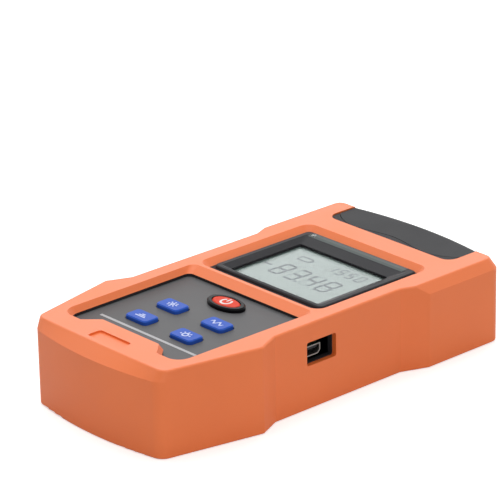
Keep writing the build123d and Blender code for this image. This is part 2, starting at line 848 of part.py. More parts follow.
# Power key: an oval cap with a flange under the seat of the panel
with BuildPart() as power_key:
    with BuildSketch(Plane.XY.offset(flange_bottom)):
        with Locations(power_place):
            Ellipse(power_key_width / 2, power_key_length / 2)
    extrude(amount=panel_top + power_key_height - flange_bottom)
    chamfer(power_key.faces().sort_by(Axis.Z)[-1].edges(), key_edge_chamfer)
    with BuildSketch(Plane.XY.offset(flange_bottom)):
        with Locations(power_place):
            Ellipse(power_key_width / 2 + key_flange, power_key_length / 2 + key_flange)
    extrude(amount=key_flange_thickness)
    with BuildSketch(Plane.XY.offset(flange_bottom)):
        with Locations(power_place):
            Circle(stem_radius)
    extrude(amount=stem_end - flange_bottom)
power_key.part.label = "power_key"
export_step(power_key.part, "parts/power_key.step")

# Four function keys with the same flange and stem
for key_name, key_place in key_places.items():
    with BuildPart() as function_key:
        with BuildSketch(Plane.XY.offset(flange_bottom)):
            with Locations(key_place):
                RectangleRounded(key_width, key_length, key_radius)
        extrude(amount=panel_top + key_height - flange_bottom)
        chamfer(function_key.faces().sort_by(Axis.Z)[-1].edges(), key_edge_chamfer)
        with BuildSketch(Plane.XY.offset(flange_bottom)):
            with Locations(key_place):
                RectangleRounded(key_width + 2 * key_flange, key_length + 2 * key_flange, key_radius)
        extrude(amount=key_flange_thickness)
        with BuildSketch(Plane.XY.offset(flange_bottom)):
            with Locations(key_place):
                Circle(stem_radius)
        extrude(amount=stem_end - flange_bottom)
    function_key.part.label = key_name
    export_step(function_key.part, f"parts/{key_name}.step")

# Display bezel: a rounded frame on the casing that slopes in to the lens, with a skirt through the wall
with BuildPart() as display_bezel:
    with BuildSketch(Plane.XY.offset(casing_top)):
        add(rounded_rectangle((0, bezel_middle), (bezel_width, bezel_far - bezel_near), bezel_radius))
    extrude(amount=bezel_height)
    fillet(display_bezel.faces().sort_by(Axis.Z)[-1].edges(), bezel_edge_radius)
    with BuildSketch(Plane.XY.offset(casing_top)):
        with Locations((0, view_middle)):
            Rectangle(*skirt_outer)
    extrude(amount=-skirt_depth)
    with BuildSketch(Plane.XY.offset(lens_top)):
        with Locations((0, view_middle)):
            Rectangle(*skirt_inner)
    extrude(amount=lens_drop - skirt_depth, mode=Mode.SUBTRACT)
    # slope down to the lip of the view, and the straight wall under the lip
    with BuildSketch(Plane.XY.offset(bezel_top - funnel_depth)):
        add(rounded_rectangle((0, view_middle), (view_width, view_length), view_radius))
    with BuildSketch(Plane.XY.offset(bezel_top)):
        add(rounded_rectangle((0, funnel_middle), funnel_size, funnel_radius))
    loft(ruled=True, mode=Mode.SUBTRACT)
    with BuildSketch(Plane.XY.offset(lens_top)):
        add(rounded_rectangle((0, view_middle), (view_width, view_length), view_radius))
    extrude(amount=bezel_top - funnel_depth - lens_top, mode=Mode.SUBTRACT)
    with BuildSketch(Plane.XY.offset(casing_top)):
        with Locations(pipe_place):
            Circle(pipe_radius + pipe_gap)
    extrude(amount=bezel_height, mode=Mode.SUBTRACT)
display_bezel.part.label = "display_bezel"
export_step(display_bezel.part, "parts/display_bezel.step")

# Display lens: the clear window under the bezel
with BuildPart() as display_lens:
    with BuildSketch(Plane.XY.offset(lens_bottom)):
        with Locations((0, view_middle)):
            Rectangle(*glass_size)
    extrude(amount=lens_thickness)
display_lens.part.label = "display_lens"
export_step(display_lens.part, "parts/display_lens.step")

# Liquid-crystal glass
with BuildPart() as lcd_glass:
    with BuildSketch(Plane.XY.offset(lcd_bottom)):
        with Locations((0, view_middle)):
            Rectangle(*glass_size)
    extrude(amount=lcd_thickness)
lcd_glass.part.label = "lcd_glass"
export_step(lcd_glass.part, "parts/lcd_glass.step")

# Backlight: a diffuser block that stands on the board and carries the glass
with BuildPart() as lcd_backlight:
    with BuildSketch(Plane.XY.offset(board_top)):
        with Locations((0, view_middle)):
            Rectangle(*skirt_outer)
    extrude(amount=lcd_bottom - display_stack_gap - board_top)
lcd_backlight.part.label = "lcd_backlight"
export_step(lcd_backlight.part, "parts/lcd_backlight.step")

# Light pipe of the status lamp, flanged under the casing's face
with BuildPart() as led_light_pipe:
    with BuildSketch(Plane.XY.offset(board_top + led_height + pipe_gap)):
        with Locations(pipe_place):
            Circle(pipe_radius)
    extrude(amount=bezel_top + pipe_proud - board_top - led_height - pipe_gap)
    with BuildSketch(Plane.XY.offset(casing_inside)):
        with Locations(pipe_place):
            Circle(pipe_radius + pipe_flange)
    extrude(amount=-pipe_flange)
led_light_pipe.part.label = "led_light_pipe"
export_step(led_light_pipe.part, "parts/led_light_pipe.step")

# Status lamp on the board
with BuildPart() as status_led:
    with BuildSketch(Plane.XY.offset(board_top)):
        with Locations(pipe_place):
            Rectangle(led_size, led_size)
    extrude(amount=led_height)
    chamfer(status_led.faces().sort_by(Axis.Z)[-1].edges(), led_chamfer)
status_led.part.label = "status_led"
export_step(status_led.part, "parts/status_led.step")

# Main board, screwed to the posts of the front half
with BuildPart() as main_board:
    with BuildSketch(Plane.XY.offset(board_bottom)):
        add(rounded_rectangle((0, board_middle_y), (board_width, board_length), board_corner_radius))
        with Locations(*post_places):
            Circle(board_screw_radius + screw_hole_gap, mode=Mode.SUBTRACT)
    extrude(amount=board_thickness)
main_board.part.label = "main_board"
export_step(main_board.part, "parts/main_board.step")

# Board screws
with BuildPart() as board_screws:
    with BuildSketch(Plane.XY.offset(board_bottom)):
        with Locations(*post_places):
            Circle(board_screw_head_radius)
    extrude(amount=-board_screw_head_height)
    with BuildSketch(Plane.XY.offset(board_bottom)):
        with Locations(*post_places):
            Circle(board_screw_radius)
    extrude(amount=board_thickness + board_screw_depth)
board_screws.part.label = "board_screws"
export_step(board_screws.part, "parts/board_screws.step")

# Tactile switches on the board, one under each key
with BuildPart() as key_switches:
    with BuildSketch(Plane.XY.offset(board_top)):
        with Locations(power_place, *key_places.values()):
            Rectangle(switch_size, switch_size)
    extrude(amount=switch_height)
    with BuildSketch(Plane.XY.offset(board_top + switch_height)):
        with Locations(power_place, *key_places.values()):
            Circle(stem_radius)
    extrude(amount=plunger_height)
key_switches.part.label = "key_switches"
export_step(key_switches.part, "parts/key_switches.step")

# Processor chip under the board
with BuildPart() as processor_chip:
    with BuildSketch(Plane.XY.offset(board_bottom)):
        with Locations((0, view_middle)):
            Rectangle(chip_size, chip_size)
    extrude(amount=-chip_height)
    chamfer(processor_chip.faces().sort_by(Axis.Z)[0].edges(), chip_chamfer)
processor_chip.part.label = "processor_chip"
export_step(processor_chip.part, "parts/processor_chip.step")


def usb_section(wall):
    """Sketch of the USB socket's shell, seen along the plug, drawn in by the wall."""
    half = usb_width / 2
    with BuildSketch() as section:
        with BuildLine():
            Polyline(
                (usb_y - half, board_bottom),
                (usb_y - half, board_bottom - usb_height + usb_taper),
                (usb_y - half + usb_taper, board_bottom - usb_height),
                (usb_y + half - usb_taper, board_bottom - usb_height),
                (usb_y + half, board_bottom - usb_height + usb_taper),
                (usb_y + half, board_bottom),
                close=True,
            )
        make_face()
        if wall > 0:
            offset(amount=-wall, kind=Kind.INTERSECTION)
    return section.sketch


# USB socket: a folded steel shell under the board's edge
with BuildPart() as usb_socket:
    with BuildSketch(Plane.YZ.offset(usb_mouth_x)):
        add(usb_section(0))
    extrude(amount=-usb_depth)
    with BuildSketch(Plane.YZ.offset(usb_mouth_x)):
        add(usb_section(usb_wall))
    extrude(amount=usb_wall - usb_depth, mode=Mode.SUBTRACT)
usb_socket.part.label = "usb_socket"
export_step(usb_socket.part, "parts/usb_socket.step")

# Tongue with the contacts, inside the USB socket
with BuildPart() as usb_tongue:
    with BuildSketch(Plane.YZ.offset(usb_mouth_x - usb_depth + usb_wall)):
        with Locations((usb_y, board_bottom - usb_wall - usb_tongue_gap)):
            Rectangle(usb_width - 4 * usb_wall, usb_tongue_thickness, align=(Align.CENTER, Align.MAX))
    extrude(amount=usb_depth - usb_wall - usb_tongue_setback)
usb_tongue.part.label = "usb_tongue"
export_step(usb_tongue.part, "parts/usb_tongue.step")

# Port plate inside the end wall
with BuildPart() as port_plate:
    with BuildSketch(Plane.XZ.offset(-plate_front_y)):
        with Locations((0, port_height)):
            Rectangle(port_opening_width + 2 * plate_margin, port_opening_height + 2 * plate_margin)
        with Locations((-port_pitch / 2, port_height), (port_pitch / 2, port_height)):
            Circle(stub_radius + stub_gap, mode=Mode.SUBTRACT)
    extrude(amount=plate_thickness)
port_plate.part.label = "port_plate"
export_step(port_plate.part, "parts/port_plate.step")


def port_section(side, bore_points):
    """Half section of a port: stub, flange and barrel, with its bore given by points from the mouth."""
    with BuildSketch() as section:
        with BuildLine():
            Polyline(
                (stub_radius, stub_end_y),
                (stub_radius, plate_front_y),
                (flange_radius, plate_front_y),
                (flange_radius, plate_front_y + flange_thickness),
                (side, plate_front_y + flange_thickness),
                (side, barrel_end_y - mouth_chamfer),
                (side - mouth_chamfer, barrel_end_y),
                *bore_points,
                close=True,
            )
        make_face()
    return section.sketch


# Detector port: an adapter with a sleeve round the ferrule's bore, and the diode's seat behind
with BuildPart() as detector_port:
    with BuildSketch(Plane((port_pitch / 2, 0, port_height))):
        add(port_section(barrel_radius, [
            (barrel_bore_radius, barrel_end_y),
            (barrel_bore_radius, barrel_end_y - barrel_bore_depth),
            (sleeve_radius, barrel_end_y - barrel_bore_depth),
            (sleeve_radius, barrel_end_y - sleeve_drop),
            (ferrule_radius, barrel_end_y - sleeve_drop),
            (ferrule_radius, diode_seat_y),
            (diode_radius + diode_gap, diode_seat_y),
            (diode_radius + diode_gap, stub_end_y),
        ]))
    revolve(axis=Axis((port_pitch / 2, 0, port_height), (0, 1, 0)))
detector_port.part.label = "detector_port"
export_step(detector_port.part, "parts/detector_port.step")

# Laser port: a plain barrel that takes the ferrule of a patch cord
with BuildPart() as laser_port:
    with BuildSketch(Plane((-port_pitch / 2, 0, port_height))):
        add(port_section(laser_barrel_radius, [
            (ferrule_radius + mouth_chamfer, barrel_end_y),
            (ferrule_radius, barrel_end_y - mouth_chamfer),
            (ferrule_radius, stub_end_y),
        ]))
    revolve(axis=Axis((-port_pitch / 2, 0, port_height), (0, 1, 0)))
laser_port.part.label = "laser_port"
export_step(laser_port.part, "parts/laser_port.step")

# Nuts that clamp the ports to the plate
with BuildPart() as port_nuts:
    with BuildSketch(Plane.XZ.offset(-plate_back_y)):
        with Locations((-port_pitch / 2, port_height), (port_pitch / 2, port_height)):
            RegularPolygon(nut_flats / 2, 6, major_radius=False)
            Circle(stub_radius + thread_gap, mode=Mode.SUBTRACT)
    extrude(amount=nut_thickness)
port_nuts.part.label = "port_nuts"
export_step(port_nuts.part, "parts/port_nuts.step")


def bent_lead(start_y, turn_y):
    """Side view of a wire that runs back from a diode and turns up to the board."""
    with BuildSketch() as lead:
        with BuildLine():
            Polyline((start_y, port_height), (turn_y, port_height), (turn_y, board_bottom))
        trace(line_width=lead_size)
        with Locations((turn_y, board_bottom)):
            Rectangle(2 * lead_size, lead_size, align=(Align.CENTER, Align.MIN), mode=Mode.SUBTRACT)
    return lead.sketch


# Photodiode: a metal can in the back of the detector port, with bent leads
with BuildPart() as photodiode:
    with BuildSketch(Plane.XZ.offset(-stub_end_y)):
        with Locations((port_pitch / 2, port_height)):
            Circle(diode_radius)
    extrude(amount=-diode_depth)
    with BuildSketch(Plane.XZ.offset(-stub_end_y)):
        with Locations((port_pitch / 2, port_height)):
            Circle(diode_flange_radius)
    extrude(amount=diode_flange_thickness)
    for lead_x in (port_pitch / 2 - lead_pitch / 2, port_pitch / 2 + lead_pitch / 2):
        with BuildSketch(Plane.YZ.offset(lead_x)):
            add(bent_lead(stub_end_y - diode_flange_thickness, board_far_y - lead_reach))
        extrude(amount=lead_size / 2, both=True)
photodiode.part.label = "photodiode"
export_step(photodiode.part, "parts/photodiode.step")

# Laser module: a brass tube on the back of the laser port, with bent leads
with BuildPart() as laser_module:
    with BuildSketch(Plane.XZ.offset(-stub_end_y)):
        with Locations((-port_pitch / 2, port_height)):
            Circle(laser_radius)
    extrude(amount=laser_length)
    chamfer(laser_module.faces().sort_by(Axis.Y)[0].edges(), mouth_chamfer)
    for lead_x in (-port_pitch / 2 - lead_pitch / 2, -port_pitch / 2 + lead_pitch / 2):
        with BuildSketch(Plane.YZ.offset(lead_x)):
            add(bent_lead(stub_end_y - laser_length, stub_end_y - laser_length - lead_reach))
        extrude(amount=lead_size / 2, both=True)
laser_module.part.label = "laser_module"
export_step(laser_module.part, "parts/laser_module.step")

# Plan of the hollow in the dust cap
hollow_half = cap_half - cap_wall
hollow_side_y = rear_end - cap_bow - cap_wall
with BuildSketch() as cap_hollow:
    with BuildLine():
        Polyline(
            (hollow_half, hollow_side_y),
            (hollow_half, casing_end),
            (-hollow_half, casing_end),
            (-hollow_half, hollow_side_y),
        )
        ThreePointArc((-hollow_half, hollow_side_y), (0, rear_end - cap_wall), (hollow_half, hollow_side_y))
    make_face()
    fillet(cap_hollow.vertices().group_by(Axis.Y)[-1], cap_hollow_radius)

# Dust cap: a hood over the ports that rolls on two pips at its lower rear edge
with BuildPart() as dust_cap:
    with BuildSketch(Plane.YZ.offset(-cap_half)):
        with BuildLine():
            Polyline(
                (hinge_y - cap_roll_radius, hinge_z),
                (hinge_y - cap_roll_radius, cap_underside),
                (bay_near_y, cap_underside),
                (bay_near_y, cap_top),
                (rear_end, cap_top),
                (rear_end, hinge_z),
            )
            ThreePointArc(
                (rear_end, hinge_z),
                (hinge_y, hinge_z - cap_roll_radius),
                (hinge_y - cap_roll_radius, hinge_z),
            )
        make_face()
    extrude(amount=2 * cap_half)
    with BuildSketch():
        add(cap_plan.sketch)
    extrude(amount=height, mode=Mode.INTERSECT)
    fillet(dust_cap.edges().group_by(Axis.Z)[-1].sort_by(Axis.Y)[-1], cap_end_radius)
    with BuildSketch(Plane.XY.offset(cap_floor)):
        add(cap_hollow.sketch)
    extrude(amount=cap_underside - cap_floor, mode=Mode.SUBTRACT)
    for pip_x in (-cap_half - pip_length, cap_half):
        with BuildSketch(Plane.YZ.offset(pip_x)):
            with Locations((hinge_y, hinge_z)):
                Circle(pip_radius)
        extrude(amount=pip_length)
dust_cap.part.label = "dust_cap"
export_step(dust_cap.part, "parts/dust_cap.step")

# Three AA cells, laid head to tail
with BuildPart() as batteries:
    for row, cell_x in enumerate(cell_rows):
        way = 1 - 2 * (row % 2)
        cell_middle_y = well_middle_y + way * (spring_length - nub_length) / 2
        nub_middle_y = cell_middle_y + way * (cell_length + nub_length) / 2
        with BuildSketch(Plane.XZ.offset(-cell_middle_y)):
            with Locations((cell_x, cell_z)):
                Circle(cell_radius)
        extrude(amount=cell_length / 2, both=True)
        with BuildSketch(Plane.XZ.offset(-nub_middle_y)):
            with Locations((cell_x, cell_z)):
                Circle(nub_radius)
        extrude(amount=nub_length / 2, both=True)
batteries.part.label = "batteries"
export_step(batteries.part, "parts/batteries.step")

# Leaf springs at the flat ends of the cells
with BuildPart() as battery_springs:
    for row, cell_x in enumerate(cell_rows):
        way = 1 - 2 * (row % 2)
        wall_y = well_middle_y - way * well_length / 2
        face_y = wall_y + way * contact_thickness
        tip_y = face_y + way * (spring_length - leaf_thickness)
        with BuildSketch(Plane.YZ.offset(cell_x)):
            with Locations(((wall_y + face_y) / 2, cell_z)):
                Rectangle(contact_thickness, contact_width)
        extrude(amount=contact_width / 2, both=True)
        with BuildSketch(Plane.YZ.offset(cell_x)):
            with BuildLine():
                Polyline((face_y, cell_z + leaf_reach), (tip_y, cell_z), (face_y + way, cell_z - leaf_reach))
            trace(line_width=leaf_thickness)
        extrude(amount=leaf_width / 2, both=True)
battery_springs.part.label = "battery_springs"
export_step(battery_springs.part, "parts/battery_springs.step")

# Flat contact plates at the nubs of the cells
with BuildPart() as battery_plates:
    for row, cell_x in enumerate(cell_rows):
        way = 1 - 2 * (row % 2)
        with BuildSketch(Plane.YZ.offset(cell_x)):
            with Locations((well_middle_y + way * (well_length - contact_thickness) / 2, cell_z)):
                Rectangle(contact_thickness, contact_width)
        extrude(amount=contact_width / 2, both=True)
battery_plates.part.label = "battery_plates"
export_step(battery_plates.part, "parts/battery_plates.step")
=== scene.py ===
import math

import bpy
from mathutils import Matrix, Vector


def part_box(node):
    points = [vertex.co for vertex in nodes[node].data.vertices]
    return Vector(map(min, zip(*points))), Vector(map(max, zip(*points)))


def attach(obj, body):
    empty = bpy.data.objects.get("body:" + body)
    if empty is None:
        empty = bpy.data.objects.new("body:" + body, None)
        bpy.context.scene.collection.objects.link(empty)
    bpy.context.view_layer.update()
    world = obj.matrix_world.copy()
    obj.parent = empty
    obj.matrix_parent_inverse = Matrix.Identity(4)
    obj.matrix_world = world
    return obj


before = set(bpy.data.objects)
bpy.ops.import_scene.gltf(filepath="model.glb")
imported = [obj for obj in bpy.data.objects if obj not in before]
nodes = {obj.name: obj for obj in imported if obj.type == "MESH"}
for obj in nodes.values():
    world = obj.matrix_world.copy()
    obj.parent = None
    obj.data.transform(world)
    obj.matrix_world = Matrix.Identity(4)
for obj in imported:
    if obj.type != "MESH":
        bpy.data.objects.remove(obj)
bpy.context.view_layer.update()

bpy.ops.object.select_all(action="DESELECT")


# Casing
# Two halves of dark grey ABS, moulded with a fine spark finish, and closed by four socket
# screws. In the boot only the step that meets the dust cap's waved edge shows.
CASING_GREY = (0.024, 0.024, 0.026)
CASING_GREY_WORN = (0.030, 0.030, 0.032)


def moulded(name, colour, worn, roughness, grain_size, grain_depth, blotch_size=0.012, sheen=0.25):
    """Moulded plastic or rubber: a colour that varies a little, with the fine grain of the mould."""
    material = bpy.data.materials.new(name)
    material.use_nodes = True
    tree = material.node_tree
    shader = tree.nodes["Principled BSDF"]
    shader.inputs["Specular IOR Level"].default_value = sheen
    place = tree.nodes.new("ShaderNodeTexCoord")
    blotches = tree.nodes.new("ShaderNodeTexNoise")
    blotches.inputs["Scale"].default_value = 1 / blotch_size
    blotches.inputs["Detail"].default_value = 4
    tree.links.new(place.outputs["Object"], blotches.inputs["Vector"])
    ramp = tree.nodes.new("ShaderNodeValToRGB")
    ramp.color_ramp.elements[0].position = 0.35
    ramp.color_ramp.elements[0].color = (*colour, 1)
    ramp.color_ramp.elements[1].position = 0.75
    ramp.color_ramp.elements[1].color = (*worn, 1)
    tree.links.new(blotches.outputs["Fac"], ramp.inputs["Fac"])
    tree.links.new(ramp.outputs["Color"], shader.inputs["Base Color"])
    gloss = tree.nodes.new("ShaderNodeMapRange")
    gloss.inputs["From Min"].default_value = 0.3
    gloss.inputs["From Max"].default_value = 0.7
    gloss.inputs["To Min"].default_value = roughness * 0.92
    gloss.inputs["To Max"].default_value = min(roughness * 1.08, 1)
    tree.links.new(blotches.outputs["Fac"], gloss.inputs["Value"])
    tree.links.new(gloss.outputs["Result"], shader.inputs["Roughness"])
    pits = tree.nodes.new("ShaderNodeTexNoise")
    pits.inputs["Scale"].default_value = 1 / grain_size
    pits.inputs["Detail"].default_value = 3
    tree.links.new(place.outputs["Object"], pits.inputs["Vector"])
    bump = tree.nodes.new("ShaderNodeBump")
    bump.inputs["Strength"].default_value = 0.6
    bump.inputs["Distance"].default_value = grain_depth
    tree.links.new(pits.outputs["Fac"], bump.inputs["Height"])
    tree.links.new(bump.outputs["Normal"], shader.inputs["Normal"])
    return material


def coat(material, *node_names):
    """Gives the named pieces of the frame their finish."""
    for node_name in node_names:
        mesh = nodes[node_name].data
        mesh.materials.clear()
        mesh.materials.append(material)


casing_plastic = moulded(
    "casing_plastic", CASING_GREY, CASING_GREY_WORN, 0.55, 0.00035, 0.00003, sheen=0.07)
coat(casing_plastic, "front_casing", "rear_casing", "battery_door")


# Screws and contacts
# Blackened steel socket screws hold the casing halves, and bright steel ones the board and
# the battery door. The battery contacts are nickel-plated spring steel.
SCREW_STEEL = (0.30, 0.30, 0.31)
PLATED_STEEL = (0.62, 0.61, 0.58)


def metal(name, colour, roughness, mark_size, stretch=(1, 1, 1)):
    """Bare or plated metal, with a roughness that varies along the marks of its making."""
    material = bpy.data.materials.new(name)
    material.use_nodes = True
    tree = material.node_tree
    shader = tree.nodes["Principled BSDF"]
    shader.inputs["Base Color"].default_value = (*colour, 1)
    shader.inputs["Metallic"].default_value = 1
    place = tree.nodes.new("ShaderNodeTexCoord")
    mapping = tree.nodes.new("ShaderNodeMapping")
    mapping.inputs["Scale"].default_value = stretch
    tree.links.new(place.outputs["Object"], mapping.inputs["Vector"])
    marks = tree.nodes.new("ShaderNodeTexNoise")
    marks.inputs["Scale"].default_value = 1 / mark_size
    marks.inputs["Detail"].default_value = 5
    tree.links.new(mapping.outputs["Vector"], marks.inputs["Vector"])
    gloss = tree.nodes.new("ShaderNodeMapRange")
    gloss.inputs["From Min"].default_value = 0.3
    gloss.inputs["From Max"].default_value = 0.7
    gloss.inputs["To Min"].default_value = roughness * 0.7
    gloss.inputs["To Max"].default_value = min(roughness * 1.3, 1)
    tree.links.new(marks.outputs["Fac"], gloss.inputs["Value"])
    tree.links.new(gloss.outputs["Result"], shader.inputs["Roughness"])
    bump = tree.nodes.new("ShaderNodeBump")
    bump.inputs["Strength"].default_value = 0.3
    bump.inputs["Distance"].default_value = 0.00001
    tree.links.new(marks.outputs["Fac"], bump.inputs["Height"])
    tree.links.new(bump.outputs["Normal"], shader.inputs["Normal"])
    return material


screw_steel = metal("screw_steel", SCREW_STEEL, 0.35, 0.0006)
plated_steel = metal("plated_steel", PLATED_STEEL, 0.25, 0.0012)
coat(screw_steel, "casing_screws", "battery_door_screw", "board_screws")
coat(plated_steel, "battery_springs", "battery_plates")


# Ports
# The detector and the laser sit behind turned nickel-plated brass barrels, held by hexagon
# nuts in a plate of black anodised aluminium. The detector's barrel is threaded for connectors.
PLATE_BLACK = (0.035, 0.035, 0.038)
NICKEL = (0.66, 0.64, 0.60)
BRASS = (0.72, 0.52, 0.22)
port_plate_metal = metal("port_plate_metal", PLATE_BLACK, 0.45, 0.0008)
port_metal = metal("port_metal", NICKEL, 0.22, 0.0005, stretch=(1, 8, 1))
laser_brass = metal("laser_brass", BRASS, 0.3, 0.0006, stretch=(1, 8, 1))
coat(port_plate_metal, "port_plate")
coat(port_metal, "detector_port", "laser_port", "port_nuts", "photodiode")
coat(laser_brass, "laser_module")

THREAD_PITCH = 0.00075
THREAD_RISE = 0.00022
THREAD_CLEAR = 0.00002
THREAD_TURNS = 8
THREAD_FROM_MOUTH = 0.0007
ROWS_TO_A_TURN = 4
STEPS_AROUND = 48
BARREL_RADIUS = 0.0040


def in_place(piece, name, body, material):
    """Puts a piece's place into its mesh, gives it its finish and lets it move with its body."""
    bpy.ops.object.select_all(action="DESELECT")
    piece.select_set(True)
    bpy.context.view_layer.objects.active = piece
    bpy.ops.object.transform_apply(location=True, rotation=True, scale=True)
    piece.name = name
    piece.data.name = name
    piece.data.materials.clear()
    piece.data.materials.append(material)
    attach(piece, body)
    piece.select_set(False)
    return piece


def thread(port_name, radius):
    """The fine screw thread on a port's barrel, wound from its mouth and fading out at both ends."""
    low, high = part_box(port_name)
    length = THREAD_TURNS * THREAD_PITCH
    rows = THREAD_TURNS * ROWS_TO_A_TURN
    bpy.ops.mesh.primitive_grid_add(
        x_subdivisions=STEPS_AROUND, y_subdivisions=rows, size=1, location=(0, 0, 0))
    piece = bpy.context.object
    for vertex in piece.data.vertices:
        angle = (vertex.co.x + 0.5) * 2 * math.pi
        along = (vertex.co.y + 0.5) * length
        turn = (along / THREAD_PITCH + angle / (2 * math.pi)) % 1
        fade = min(1, along / THREAD_PITCH, (length - along) / THREAD_PITCH)
        reach = radius + THREAD_CLEAR + THREAD_RISE * (1 - abs(2 * turn - 1)) * fade
        vertex.co.x = (low.x + high.x) / 2 + reach * math.cos(angle)
        vertex.co.y = high.y - THREAD_FROM_MOUTH - along
        vertex.co.z = (low.z + high.z) / 2 + reach * math.sin(angle)
    bpy.ops.object.mode_set(mode="EDIT")
    bpy.ops.mesh.select_all(action="SELECT")
    bpy.ops.mesh.remove_doubles(threshold=0.000002)
    bpy.ops.object.mode_set(mode="OBJECT")
    return in_place(piece, port_name + "_thread", "meter", port_metal)


thread("detector_port", BARREL_RADIUS)


# Board
# A green glass-fibre laminate with its resin-moulded processor, the key switches and the
# light that the clear pipe carries up to the display frame.
LAMINATE_GREEN = (0.02, 0.14, 0.06)
LAMINATE_GREEN_LIGHT = (0.03, 0.18, 0.08)
RESIN_BLACK = (0.02, 0.02, 0.022)
RESIN_BLACK_WORN = (0.03, 0.03, 0.032)
SWITCH_GREY = (0.4, 0.4, 0.4)
board_laminate = moulded(
    "board_laminate", LAMINATE_GREEN, LAMINATE_GREEN_LIGHT, 0.35, 0.0009, 0.00001, blotch_size=0.004)
chip_resin = moulded("chip_resin", RESIN_BLACK, RESIN_BLACK_WORN, 0.5, 0.0002, 0.00001)
switch_metal = metal("switch_metal", SWITCH_GREY, 0.3, 0.0008)
coat(board_laminate, "main_board")
coat(chip_resin, "processor_chip", "usb_tongue")
coat(switch_metal, "key_switches")


# Display
# A reflective liquid crystal on its light guide, behind a clear acrylic lens. The reading
# is seven-segment figures in the crystal, dark grey when driven and faint when not.
CRYSTAL_GREEN = (0.177, 0.217, 0.208)
CRYSTAL_GREEN_LIGHT = (0.192, 0.232, 0.223)
GUIDE_WHITE = (0.75, 0.78, 0.74)
GUIDE_WHITE_LIGHT = (0.80, 0.82, 0.79)
lcd_film = moulded(
    "lcd_film", CRYSTAL_GREEN, CRYSTAL_GREEN_LIGHT, 0.4, 0.0004, 0.000004, blotch_size=0.02, sheen=0.1)
diffuser = moulded("diffuser", GUIDE_WHITE, GUIDE_WHITE_LIGHT, 0.5, 0.0004, 0.000006)
coat(lcd_film, "lcd_glass")
coat(diffuser, "lcd_backlight")


def clear(name, tint, roughness, bending):
    """Clear plastic that bends light, and lets the light of the lamps through to what lies behind."""
    material = bpy.data.materials.new(name)
    material.use_nodes = True
    tree = material.node_tree
    shader = tree.nodes["Principled BSDF"]
    output = tree.nodes["Material Output"]
    shader.inputs["Base Color"].default_value = (*tint, 1)
    shader.inputs["Roughness"].default_value = roughness
    shader.inputs["IOR"].default_value = bending
    shader.inputs["Transmission Weight"].default_value = 1
    through = tree.nodes.new("ShaderNodeBsdfTransparent")
    through.inputs["Color"].default_value = (*tint, 1)
    path = tree.nodes.new("ShaderNodeLightPath")
    mix = tree.nodes.new("ShaderNodeMixShader")
    tree.links.new(path.outputs["Is Shadow Ray"], mix.inputs["Fac"])
    tree.links.new(shader.outputs["BSDF"], mix.inputs[1])
    tree.links.new(through.outputs["BSDF"], mix.inputs[2])
    tree.links.new(mix.outputs["Shader"], output.inputs["Surface"])
    return material


lens_glass = clear("lens_glass", (0.97, 0.98, 0.975), 0.02, 1.2)
clear_plastic = clear("clear_plastic", (0.96, 0.96, 0.95), 0.08, 1.49)
coat(lens_glass, "display_lens")
coat(clear_plastic, "led_light_pipe", "status_led")

SEGMENT_INK = (0.045, 0.058, 0.068)
SEGMENT_GHOST = (0.158, 0.195, 0.188)
SEGMENT_DEPTH = 0.00002
SEGMENTS = {
    "0": "abcdef", "1": "bc", "2": "abdeg", "3": "abcdg", "4": "bcfg", "5": "acdfg",
    "6": "acdefg", "7": "abc", "8": "abcdefg", "9": "abcdfg", "-": "g",
}
FIGURE_LEAN = 0.09


def bar(middle, length, width, angle):
    """A flat bar with pointed ends, as a segment of a figure has, lying at the given angle."""
    bpy.ops.mesh.primitive_circle_add(vertices=6, radius=width / 2, fill_type="NGON", location=(0, 0, 0))
    shape = bpy.context.object
    for vertex in shape.data.vertices:
        vertex.co = (vertex.co.y, vertex.co.x, 0)
        if abs(vertex.co.x) > width / 8:
            vertex.co.x += math.copysign((length - width) / 2, vertex.co.x)
    shape.rotation_euler.z = angle
    shape.location = middle
    return shape


def joined(shapes, depth):
    """One thin piece from flat shapes, its face up."""
    bpy.ops.object.select_all(action="DESELECT")
    for shape in shapes:
        shape.select_set(True)
    bpy.context.view_layer.objects.active = shapes[0]
    if len(shapes) > 1:
        bpy.ops.object.join()
    piece = bpy.context.object
    bpy.ops.object.transform_apply(location=True, rotation=True, scale=True)
    bpy.ops.object.mode_set(mode="EDIT")
    bpy.ops.mesh.select_all(action="SELECT")
    bpy.ops.mesh.normals_make_consistent(inside=False)
    bpy.ops.object.mode_set(mode="OBJECT")
    solidify = piece.modifiers.new("thickness", "SOLIDIFY")
    solidify.thickness = depth
    solidify.offset = 0
    bpy.ops.object.modifier_apply(modifier=solidify.name)
    return piece


def figure_bars(figure, corner, height, stroke, z, wanted=True):
    """The bars of one seven-segment figure whose lower left corner is given, leaning a little."""
    width = height * 0.5
    half = height / 2
    lit = SEGMENTS[figure]
    places = {
        "a": (width / 2, height, width, 0), "g": (width / 2, half, width, 0), "d": (width / 2, 0, width, 0),
        "f": (0, height * 0.75, half, 1), "b": (width, height * 0.75, half, 1),
        "e": (0, height * 0.25, half, 1), "c": (width, height * 0.25, half, 1),
    }
    bars = []
    for segment, (x, y, run, upright) in places.items():
        if (segment in lit) == wanted:
            angle = math.pi / 2 - FIGURE_LEAN if upright else 0
            middle = (corner[0] + x + y * FIGURE_LEAN, corner[1] + y, z)
            bars.append(bar(middle, run - stroke * 0.25, stroke, angle))
    return bars


